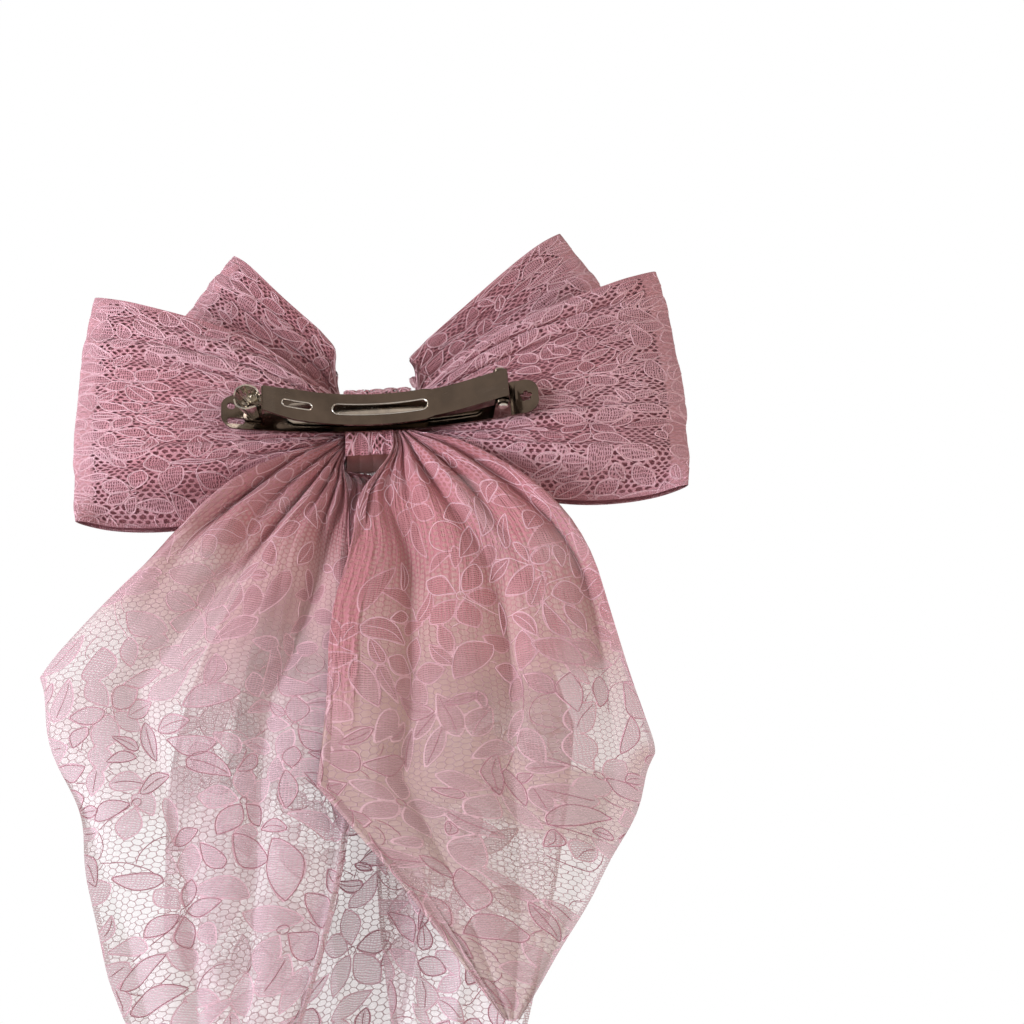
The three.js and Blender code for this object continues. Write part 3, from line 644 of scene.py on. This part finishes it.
def lace_material(name, net_edges, fill_share, net_stretch, tulle, tip=None, wobbles=(1.8, 0.45)):
    """Hexagonal net with ribbed leaves, from five values on the mesh: leaf is mm to the nearest leaf's
    edge, below zero inside; edge is mm to the strip's long edge; crest is 0 in the valleys of the
    gathers and 1 on their crests, and paints shade into the valleys and light onto the crests; bunch
    is 1 by the knot, where the valleys take a deeper, partly painted shade; veil is how far tulle fills
    the holes. The tulle has three colours: by the knot, half way and at the tip. With a tip colour, the
    yarn turns to it away from the knot, and the net is coarse by the knot and fine below."""
    n = Nodes(name)

    def value(key):
        return n.put("ShaderNodeAttribute", attribute_name=key).outputs["Fac"]

    flat = flat_mm(n)
    place = flat
    for scale, size in zip((0.3, 1.3), wobbles):
        wobble = n.put("ShaderNodeTexNoise", {"Vector": flat, "Scale": scale, "Detail": 1.0})
        shift = n.vector("SUBTRACT", wobble.outputs["Color"], (0.5, 0.5, 0.5))
        place = n.vector("ADD", place, n.vector("MULTIPLY", shift, (size, size, 0)))
    axes = n.put("ShaderNodeSeparateXYZ", {"Vector": place})
    to_leaf, bunch, crest = value("leaf"), value("bunch"), value("crest")
    inside = n.math("MAXIMUM", n.step(to_leaf, 0.08, -0.08), n.step(value("edge"), 1.3, 1.1))
    rib = stripes(n, axes.outputs["X"], RIB_PITCH)
    weft = stripes(n, axes.outputs["Y"], RIB_PITCH * 1.35)
    fill = n.math("MAXIMUM", n.step(rib, 0.25, 0.42), n.step(weft, 0.5, 0.7))
    rim = n.step(n.math("ABSOLUTE", to_leaf), 0.24, 0.12)
    drawn_in = n.vector("DIVIDE", place, (*net_stretch, 1))
    mesh = hex_net(n, drawn_in, NET_PITCH)
    net = n.step(mesh, *net_edges)
    if tip:
        net = n.math("MAXIMUM", net, n.times(n.step(mesh, 0.5, 0.72), n.step(bunch, 0.34, 0.55)))
    net = n.times(net, n.less(1.0, inside))
    filled = n.times(n.times(fill, inside), fill_share)
    solid = n.math("MAXIMUM", n.math("MAXIMUM", filled, net), rim)
    wrinkle = n.noise(1.0, 3.0, n.vector("MULTIPLY", flat, (0.13, 0.85, 1)), 0.62)
    # The yarn's colour: darker in the valleys of the gathers and of the fine wrinkles and lighter on their
    # crests, a painted shade and light; the broad noise is the yarn's own uneven tone.
    tone = n.plus(n.times(n.noise(40.0, 3.0), 0.4), n.times(crest, 0.55))
    tone = n.plus(tone, n.times(n.less(wrinkle, 0.5), 0.9))
    yarn = n.mix(n.step(tone, 0.1, 0.85), THREAD_TONE_AND_FOLD_SHADE, THREAD)
    patch = n.step(n.noise(26.0, 2.0), 0.48, 0.66)
    yarn = n.mix(n.times(patch, 0.4), yarn, THREAD_ROSE)
    # The valleys by the knot turn deep rose: partly the deeper colour of the bunched layers, partly painted
    # shade.
    knot_valley_shade = n.times(bunch, n.less(1.0, n.times(crest, 0.75)))
    yarn = n.mix(n.times(knot_valley_shade, 0.8), yarn, THREAD_BUNCHED_AND_SHADED)
    if tip:
        far = n.step(bunch, 0.45, 0.08)
        yarn = n.mix(n.times(far, 0.75), yarn, tip)
        yarn = n.mix(n.times(far, n.step(to_leaf, 0.1, 0.3)), yarn, NET_AT_TIP)
        wrinkle = n.times(wrinkle, n.step(bunch, 0.2, 0.6))
    yarn = n.mix(n.times(rim, 0.35), yarn, THREAD_PALE)
    by_knot, half_way, at_tip = tulle
    behind = n.mix(n.step(bunch, 0.03, 0.28), at_tip, half_way)
    behind = n.mix(n.step(bunch, 0.25, 0.85), behind, by_knot)
    cloud = n.plus(0.85, n.times(n.noise(55.0, 2.0), 0.3))
    veil = n.math("MINIMUM", n.times(value("veil"), cloud), 1.0)
    n.set(Base_Color=n.mix(solid, behind, yarn), Alpha=n.math("MAXIMUM", solid, veil))
    n.set(Roughness=0.62, Specular_IOR_Level=0.2, Sheen_Weight=0.15, Sheen_Roughness=0.4)
    n.set(Sheen_Tint=(1.0, 0.86, 0.9, 1))
    height = n.plus(n.times(solid, 0.35), n.times(rib, n.times(inside, 0.35)))
    n.bump(n.plus(height, n.times(wrinkle, 4.0)), 0.00028, 1.0)
    return n.material


def cord_material(name, thread, lower=None):
    """Twisted yarn; with a lower colour, the yarn darkens to it down the tails."""
    n = Nodes(name)
    place = n.put("ShaderNodeTexCoord").outputs["Object"]
    strand = n.put("ShaderNodeTexWave", {"Vector": place, "Scale": 900.0, "Distortion": 2.0},
                   bands_direction="DIAGONAL")
    shade = tuple(0.82 * c for c in thread[:3]) + (1,)
    colour = n.mix(n.step(n.noise(60.0), 0.3, 0.7), shade, thread)
    if lower:
        height = n.put("ShaderNodeSeparateXYZ", {"Vector": place}).outputs["Z"]
        uneven = n.plus(height, n.times(n.noise(30.0), 0.06))
        colour = n.mix(n.step(uneven, -0.025, -0.065), colour, lower)
    n.set(Base_Color=colour, Roughness=0.5, Specular_IOR_Level=0.35, Sheen_Weight=0.3, Sheen_Roughness=0.35)
    n.bump(strand.outputs["Fac"], 0.00006, 0.7)
    return n.material


def woven_material(name, colour, dark, pitch=0.3):
    """Plain close weave in the cloth's flat directions."""
    n = Nodes(name)
    axes = n.put("ShaderNodeSeparateXYZ", {"Vector": flat_mm(n)})
    warp = stripes(n, axes.outputs["X"], pitch)
    weft = stripes(n, axes.outputs["Y"], pitch)
    weave = n.math("MAXIMUM", warp, weft)
    tone = n.noise(35.0, 4.0)
    mixed = n.mix(n.step(tone, 0.3, 0.7), dark, colour)
    n.set(Base_Color=n.mix(n.times(n.step(weave, 0.9, 0.5), 0.4), mixed, dark), Roughness=0.7,
          Specular_IOR_Level=0.2, Sheen_Weight=0.35, Sheen_Roughness=0.5)
    n.bump(weave, 0.00008, 0.6)
    return n.material


def metal_material(name, colour, roughness=0.16):
    """Nickel plate with a fine drawn grain, hairline scratches and duller, rubbed patches."""
    n = Nodes(name)
    object_place = n.put("ShaderNodeTexCoord").outputs["Object"]
    drawn = n.vector("MULTIPLY", object_place, (60.0, 900.0, 900.0))
    grain = n.noise(1.0, 2.0, drawn)
    patch = n.noise(140.0, 4.0)
    crossed = n.vector("MULTIPLY", object_place, (260.0, 260.0, 2600.0))
    scratch = n.noise(1.0, 1.0, crossed)
    dull = tuple(0.72 * c for c in colour[:3]) + (1,)
    n.set(Base_Color=n.mix(n.step(patch, 0.35, 0.7), colour, dull), Metallic=1.0)
    rough = n.plus(roughness, n.times(n.step(patch, 0.4, 0.75), 0.12))
    n.set(Roughness=n.plus(rough, n.times(n.step(scratch, 0.62, 0.7), 0.07)))
    n.bump(n.plus(grain, n.times(scratch, 0.4)), 0.00002, 0.35)
    return n.material


def glue_material(name):
    """Set hot-melt glue: milky, waxy, with faint flow marks."""
    n = Nodes(name)
    flow = n.noise(320.0, 3.0)
    n.set(Base_Color=n.mix(flow, (0.70, 0.62, 0.48, 1), (0.82, 0.77, 0.66, 1)), Roughness=0.35,
          Subsurface_Weight=0.3, Subsurface_Scale=0.001)
    n.bump(flow, 0.0002, 0.5)
    return n.material


THREAD = (0.58, 0.33, 0.37, 1)
# The yarn's deep tone: used for its uneven tone and as painted shade in the gathers' valleys.
THREAD_TONE_AND_FOLD_SHADE = (0.42, 0.165, 0.19, 1)
THREAD_ROSE = (0.57, 0.22, 0.25, 1)
# Deep rose for the valleys by the knot: the bunched layers' colour together with painted shade.
THREAD_BUNCHED_AND_SHADED = (0.47, 0.17, 0.185, 1)
THREAD_PALE = (0.80, 0.56, 0.60, 1)
THREAD_AT_TIP = (0.61, 0.41, 0.47, 1)
THREAD_IN_SHADE = (0.45, 0.29, 0.30, 1)
NET_AT_TIP = (0.46, 0.31, 0.32, 1)
LOOP_TULLE = ((0.42, 0.165, 0.18, 1), (0.46, 0.20, 0.21, 1), (0.50, 0.25, 0.27, 1))
TAIL_TULLE = ((0.44, 0.155, 0.16, 1), (0.56, 0.36, 0.35, 1), (0.74, 0.66, 0.66, 1))
lace = lace_material("lace", (0.52, 0.76), 1.0, (1.15, 0.68), LOOP_TULLE)
SHADED_TULLE = ((0.42, 0.145, 0.15, 1), (0.48, 0.315, 0.285, 1), (0.53, 0.42, 0.385, 1))
TAIL_NET = ((0.84, 0.95), 0.85, (0.8, 1.2))
TAIL_WOBBLES = (1.2, 0.1)
tail_lace = lace_material("tail_lace", *TAIL_NET, TAIL_TULLE, THREAD_AT_TIP, TAIL_WOBBLES)
shaded_tail_lace = lace_material("shaded_tail_lace", *TAIL_NET, SHADED_TULLE, THREAD_IN_SHADE, TAIL_WOBBLES)
cord = cord_material("lace_cord", (0.70, 0.43, 0.47, 1))
tail_cord = cord_material("tail_cord", (0.74, 0.47, 0.52, 1), (0.38, 0.17, 0.20, 1))
cloth = woven_material("lining_cloth", (0.40, 0.155, 0.18, 1), (0.30, 0.10, 0.12, 1))
# The ribbon's colour is darkened to a deep brown, a painted shade under the knot.
dark_shade_ribbon = woven_material("wrap_ribbon", (0.25, 0.095, 0.08, 1), (0.19, 0.065, 0.055, 1))
thread = cord_material("binding_thread", (0.50, 0.26, 0.31, 1))
glue = glue_material("set_glue")
# The plate's nickel has a dark brown base colour, a painted reflection of dark surroundings; its duller
# patches are wear.
nickel = metal_material("nickel", (0.205, 0.167, 0.135, 1), 0.12)
# A lighter copy of the same nickel, for painted highlights: on the rounded edges, the slot rims, and the
# pin, wings, rivet and tension bow.
nickel_painted_light = metal_material("nickel_painted_light", (0.78, 0.74, 0.66, 1), 0.1)

# -------------------------- loops, linings and tails


def ride_as(piece, body, slot, *nodes):
    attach(piece, body)
    if nodes:
        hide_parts(*nodes)


def lace_values(sheet, pattern):
    """The values on the mesh that the lace material reads."""
    widths = sheet.across - sheet.across[:, :1]
    edge = np.minimum(widths, widths[:, -1:] - widths)
    return {"leaf": distance_to_leaves(sheet, pattern.leaves), "edge": edge.ravel(),
            "crest": sheet.crest.ravel(), "bunch": sheet.bunch.ravel(), "veil": sheet.veil.ravel()}


def dress(name, sheet, material, cord, pattern, cord_size):
    """The lace piece on a sheet, thinner in the pattern's bare patches, and the cords on it."""
    bare = pattern.is_open(sheet.along[:, None] + 0 * sheet.across, sheet.across)
    sheet.veil = sheet.veil * (1 - 0.5 * bare * (1 - smoothstep(sheet.bunch, 0.12, 0.42)))
    piece = sheet_piece(f"{name}_lace", sheet, material, lace_values(sheet, pattern))
    cords = cord_piece(f"{name}_cords", sheet, pattern.lines, cord, *cord_size)
    ride_as(piece, "bow", "lace", name)
    ride_as(cords, "bow", "lace")


for name, loop in LOOPS.items():
    sheet = loop_sheet(loop)
    half_width = 0.5 * loop["width"] / LOOP_GATHER
    pattern = Drawing(sheet.along[-1], -half_width, half_width, loop["seed"], 27.0, 0.62)
    dress(name, sheet, lace, cord, pattern.gathered(LOOP_GATHER), CORD_SIZE)
    inner_sheet = loop_sheet(loop, inset=0.8, trim=0.2, step=2 * GRID_STEP)
    inner_node = name.replace("loop", "lining")
    inner = sheet_piece(f"{inner_node}_cloth", inner_sheet, cloth)
    ride_as(inner, "bow", "lining", inner_node)

for name, tail in TAILS.items():
    sheet = tail_sheet(tail)
    pattern = Drawing(sheet.along[-1], 0, sheet.across.max(), tail["seed"], 24.0, 0.46, 1.0, 0.5)
    yarn = shaded_tail_lace if name == "rear_tail_left" else tail_lace
    dress(name, sheet, yarn, tail_cord, pattern, TAIL_CORD_SIZE)

# -------------------------- the knot

KNOT_MIDDLE_Y = -14.2
KNOT_HALF = (7.1, 10.6)      # half depth and half height of the wrap, before its pleats


def around(angle, half_depth, half_height, squareness=4.0):
    """A point of a rounded bar's outline, as (y, z) about its middle."""
    c, s = np.cos(angle), np.sin(angle)
    y = half_depth * np.sign(c) * np.abs(c) ** (2 / squareness)
    z = half_height * np.sign(s) * np.abs(s) ** (2 / squareness)
    return y, z


def wrap_sheet(start, end, inset, crest_height, seed):
    """A strip round the knot from one angle to another. 0 is the head side and 90 degrees the top."""
    angle = np.radians(np.linspace(start, end, 220))
    half_depth, half_height = KNOT_HALF[0] - inset, KNOT_HALF[1] - inset
    y, z = around(angle, half_depth, half_height)
    line = resample(np.stack([y, z], 1), 150)
    along = np.concatenate([[0], np.cumsum(np.linalg.norm(np.diff(line, axis=0), axis=1))])
    tangent = np.gradient(line, axis=0)
    tangent /= np.linalg.norm(tangent, axis=1, keepdims=True)
    outward = np.stack([tangent[:, 1], -tangent[:, 0]], 1)
    w = np.linspace(0, 1, 110)[None, :]
    crest, lean = Pleats(seed, 5, 900, 901, 0.6)(w, along[:, None])
    height = crest_height * crest * (1 - smoothstep(np.abs(2 * w - 1), 0.9, 1.0) * 0.8)
    half_length = 8.9 - 0.35 * np.sin(along[:, None] / 5.0) ** 2
    x = half_length * (2 * w - 1 - 0.05 * lean)
    points = np.stack([x, KNOT_MIDDLE_Y + line[:, :1] + height * outward[:, :1],
                       line[:, 1:] + height * outward[:, 1:]], 2)
    across = WRAP_WIDTH * (w - 0.5) + 0 * along[:, None]
    sheet = Sheet(points, along, across, (along[-1], WRAP_WIDTH))
    # The pleats' crests are painted lighter and their valleys darker, with the painted shade of the knot's
    # valleys.
    sheet.crest = crest
    sheet.bunch = 0.4 + 0 * crest
    sheet.veil = 0 * crest
    return sheet


def tube_mesh(name, line, radius, material, lobes=0, twist=0.0, sides=12):
    """A closed rod along a line in mm; with lobes, its section is that of twisted strands."""
    line = np.asarray(line, float)
    along = np.gradient(line, axis=0)
    along /= np.linalg.norm(along, axis=1, keepdims=True)
    reference = np.where(np.abs(along[:, :1]) > 0.9, [[0.0, 1.0, 0.0]], [[1.0, 0.0, 0.0]])
    side = np.cross(along, reference)
    side /= np.linalg.norm(side, axis=1, keepdims=True)
    up = np.cross(side, along)
    turn = 2 * math.pi * np.arange(sides) / sides
    travelled = np.concatenate([[0], np.cumsum(np.linalg.norm(np.diff(line, axis=0), axis=1))])
    shape = np.ones((len(line), sides))
    if lobes:
        shape = 0.82 + 0.18 * np.abs(np.cos(0.5 * lobes * (turn[None, :] - twist * travelled[:, None])))
    shape[0] = shape[-1] = 0.02
    ring = radius * shape[..., None] * (np.cos(turn)[None, :, None] * side[:, None, :]
                                        + np.sin(turn)[None, :, None] * up[:, None, :])
    vertices = (line[:, None, :] + ring).reshape(-1, 3)
    return make_mesh(name, vertices * MM, grid_faces(len(line), sides, closed=True), material)


# The lace strip stops short underneath, where the smooth ribbon below it shows, coloured dark brown as a
# painted shade under the knot.
wrap = wrap_sheet(-52, 250, 0.0, 0.55, 97)
wrap_pattern = Drawing(wrap.along[-1], -WRAP_WIDTH / 2, WRAP_WIDTH / 2, 98, 25.0, 0.6)
wrap_lace = sheet_piece("knot_wrap_lace", wrap, lace, lace_values(wrap, wrap_pattern))
wrap_cords = cord_piece("knot_wrap_cords", wrap, wrap_pattern.lines, cord, *CORD_SIZE)
wrap_inner = wrap_sheet(-100, 259, 0.7, 0.45, 97)
wrap_ribbon = sheet_piece("knot_wrap_ribbon", wrap_inner, dark_shade_ribbon)
ride_as(wrap_lace, "bow", "lace", "knot_wrap")
ride_as(wrap_cords, "bow", "lace")
ride_as(wrap_ribbon, "bow", "lining")


def gather_core():
    """The bunched middle of the strips: a pleated bundle pinched by the thread."""
    rows, columns = 60, 240
    x = np.linspace(-8, 8, rows)[:, None]
    angle = np.linspace(0, 2 * math.pi, columns, endpoint=False)[None, :]
    pinch = 1 - smoothstep(np.abs(x), 4.6, 7.4)
    y, z = around(angle, 1.0, 1.0, 3.0)
    half_depth = 4.9 - 1.5 * pinch
    half_height = 8.8 - 1.4 * pinch
    drift = Ripple(5)
    pleat = np.abs(np.sin(17 * angle + 0.8 * drift(x / 4, 3 * np.cos(angle))))
    size = 1 - 0.07 * pleat
    points = np.stack([x + 0 * y, KNOT_MIDDLE_Y + half_depth * size * y, half_height * size * z], 2)
    ends = [np.array([[[end, KNOT_MIDDLE_Y, 0.0]]]) + 0 * points[:1] for end in (-7.4, 7.4)]
    points = np.concatenate([ends[0], points, ends[1]])
    faces = grid_faces(rows + 2, columns, closed=True)
    flat = np.stack(np.broadcast_arrays(40 * angle / math.pi, np.linspace(-9, 9, rows + 2)[:, None]), 2)
    return make_mesh("gather_core_bunch", points.reshape(-1, 3) * MM, faces, cloth,
                     flat.reshape(-1, 2) * 0.01)


ride_as(gather_core(), "bow", "lace", "gather_core")

winding = np.linspace(0, 1, 620)
coil_angle = 2 * math.pi * 4 * winding
coil_y = KNOT_MIDDLE_Y + 4.3 * np.cos(coil_angle)
coil = np.stack([5.2 * (2 * winding - 1), coil_y, 8.3 * np.sin(coil_angle)], 1)
strands = tube_mesh("binding_thread_strands", coil, 0.4, thread, lobes=3, twist=3.4)
ride_as(strands, "bow", "thread", "binding_thread")


def glue_pad():
    """A squeezed-out pad of glue with a soft, uneven rim."""
    rows, columns = 24, 96
    lift = np.linspace(-math.pi / 2, math.pi / 2, rows)[:, None]
    angle = np.linspace(0, 2 * math.pi, columns, endpoint=False)[None, :]
    spread = np.cos(lift) ** 0.35
    rim = 1 - 0.05 * (1 + np.sin(3 * angle + 1)) - 0.02 * np.sin(7 * angle)
    x, z = around(angle, 6.95, 4.15, 4.0)
    points = np.stack([spread * rim * x, -6.0 + 0.38 * np.sin(lift) + 0 * x, spread * rim * z], 2)
    faces = grid_faces(rows, columns, closed=True)
    return make_mesh("adhesive_pad_glue", points.reshape(-1, 3) * MM, faces, glue)


ride_as(glue_pad(), "bow", "adhesive", "adhesive_pad")

# -------------------------- metal

METAL_NODES = ("base_plate", "clasp_arm", "hinge_pin", "tension_bow", "catch_foot", "catch_rivet",
               "catch_wing_upper", "catch_wing_lower")
# These parts take the lighter copy of the nickel, a painted highlight.
PAINTED_LIGHT_NODES = ("tension_bow", "hinge_pin", "catch_wing_upper", "catch_wing_lower", "catch_rivet")
for name in METAL_NODES:
    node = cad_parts[name]
    node.data.materials.clear()
    node.data.materials.append(nickel_painted_light if name in PAINTED_LIGHT_NODES else nickel)
    # The rounded edges take the lighter copy: a painted highlight along every edge.
    node.data.materials.append(nickel_painted_light)
    bevel = node.modifiers.new("rounded edges", "BEVEL")
    bevel.material = 1
    bevel.width = 0.00016
    bevel.segments = 2
    bevel.limit_method = "ANGLE"
    bevel.angle_limit = math.radians(40)
    bevel.harden_normals = True

ARM_RADIUS = 50.0
SLOT_RIM_Y = -2.04               # at the arm's middle


def slot_rim(name, start, end, half):
    """The turned edge round a slot in the arm."""
    bend = np.linspace(-math.pi / 2, math.pi / 2, 16)
    right_end = np.stack([end - half + half * np.cos(bend), half * np.sin(bend)], 1)
    left_end = np.stack([start + half - half * np.cos(bend), -half * np.sin(bend)], 1)
    outline = resample(np.concatenate([right_end, left_end, right_end[:1]]), 260)
    x, z = outline.T
    line = np.stack([x, SLOT_RIM_Y + ARM_RADIUS - np.sqrt(ARM_RADIUS ** 2 - x ** 2), z], 1)
    # The rim is in the lighter copy of the nickel, a painted highlight round the slot.
    rim = tube_mesh(name, line, 0.2, nickel_painted_light, sides=8)
    ride_as(rim, "arm", "nickel")


slot_rim("arm_slot_rim_long", -12.6, 11.6, 1.5)
slot_rim("arm_slot_rim_short", 16.6, 24.0, 1.0)

# -------------------------- light, floor and camera

def area_light(name, place, aim, size, power, colour):
    data = bpy.data.lights.new(name, "AREA")
    data.shape = "RECTANGLE"
    data.size, data.size_y = size
    data.energy = power
    data.color = colour
    light = bpy.data.objects.new(name, data)
    light.location = place
    light.rotation_euler = (Vector(aim) - Vector(place)).to_track_quat("-Z", "Y").to_euler()
    bpy.context.scene.collection.objects.link(light)


area_light("key", (0.78, 0.46, -0.10), (0, 0, -0.03), (0.4, 0.6), 11.5, (0.88, 0.89, 1.0))
area_light("fill", (-0.7, 0.35, -0.22), (0, 0, -0.05), (0.35, 0.4), 2.2, (1.0, 0.80, 0.70))
area_light("front", (0.1, -0.6, 0.35), (0, 0, -0.03), (0.6, 0.6), 3.5, (1.0, 0.97, 0.94))
area_light("strip_left", (0.75, 0.2, 0.45), (0, 0, 0), (0.1, 0.5), 0.9, (1.0, 0.98, 0.95))
area_light("strip_right", (-0.75, 0.2, 0.45), (0, 0, 0), (0.1, 0.5), 0.9, (1.0, 0.98, 0.95))
area_light("warm", (0.0, 0.8, 0.5), (0, 0, 0), (2.6, 0.8), 1.3, (1.0, 0.72, 0.52))

scene = bpy.context.scene
scene.view_settings.view_transform = "Standard"
scene.cycles.transparent_max_bounces = 32
world = bpy.data.worlds.new("studio")
scene.world = world
world.use_nodes = True
tree = world.node_tree
background = tree.nodes["Background"]
seen = tree.nodes.new("ShaderNodeLightPath")
shade = tree.nodes.new("ShaderNodeMix")
shade.data_type = "RGBA"
shade.inputs[6].default_value = (0.34, 0.32, 0.31, 1)
shade.inputs[7].default_value = (1, 1, 1, 1)
tree.links.new(seen.outputs["Is Camera Ray"], shade.inputs["Factor"])
tree.links.new(shade.outputs[2], background.inputs["Color"])

FLOOR_Z = -0.262
FLOOR_HALF = 1.6
corners = [(-1, -1), (1, -1), (1, 1), (-1, 1)]
floor_points = [(FLOOR_HALF * x, FLOOR_HALF * y, FLOOR_Z) for x, y in corners]
paint = Nodes("floor_paint")
uneven_white = paint.mix(paint.noise(4.0), (0.80, 0.79, 0.78, 1), (0.86, 0.85, 0.84, 1))
paint.set(Base_Color=uneven_white, Roughness=0.8)
floor = make_mesh("floor", floor_points, [[0, 1, 2, 3]], paint.material)

# The bow is seen from behind and 30 degrees below, with the picture turned by 3 degrees.
VIEW_DISTANCE = 0.45
VIEW_ELEVATION = math.radians(-30)
VIEW_ROLL = math.radians(3)
side_axis = Vector((-1, 0, 0))
up_axis = Vector((0, -math.sin(VIEW_ELEVATION), math.cos(VIEW_ELEVATION)))
back_axis = Vector((0, math.cos(VIEW_ELEVATION), math.sin(VIEW_ELEVATION)))
right = side_axis * math.cos(VIEW_ROLL) - up_axis * math.sin(VIEW_ROLL)
up = side_axis * math.sin(VIEW_ROLL) + up_axis * math.cos(VIEW_ROLL)
lens = bpy.data.cameras.new("camera")
lens.lens = 62.8
lens.sensor_width = 36
lens.shift_x = 0.1309
lens.shift_y = -0.1045
lens.clip_start = 0.01
camera = bpy.data.objects.new("camera", lens)
turned = Matrix((right, up, back_axis)).transposed()
camera.matrix_world = Matrix.Translation(back_axis * VIEW_DISTANCE) @ turned.to_4x4()
scene.collection.objects.link(camera)
scene.camera = camera
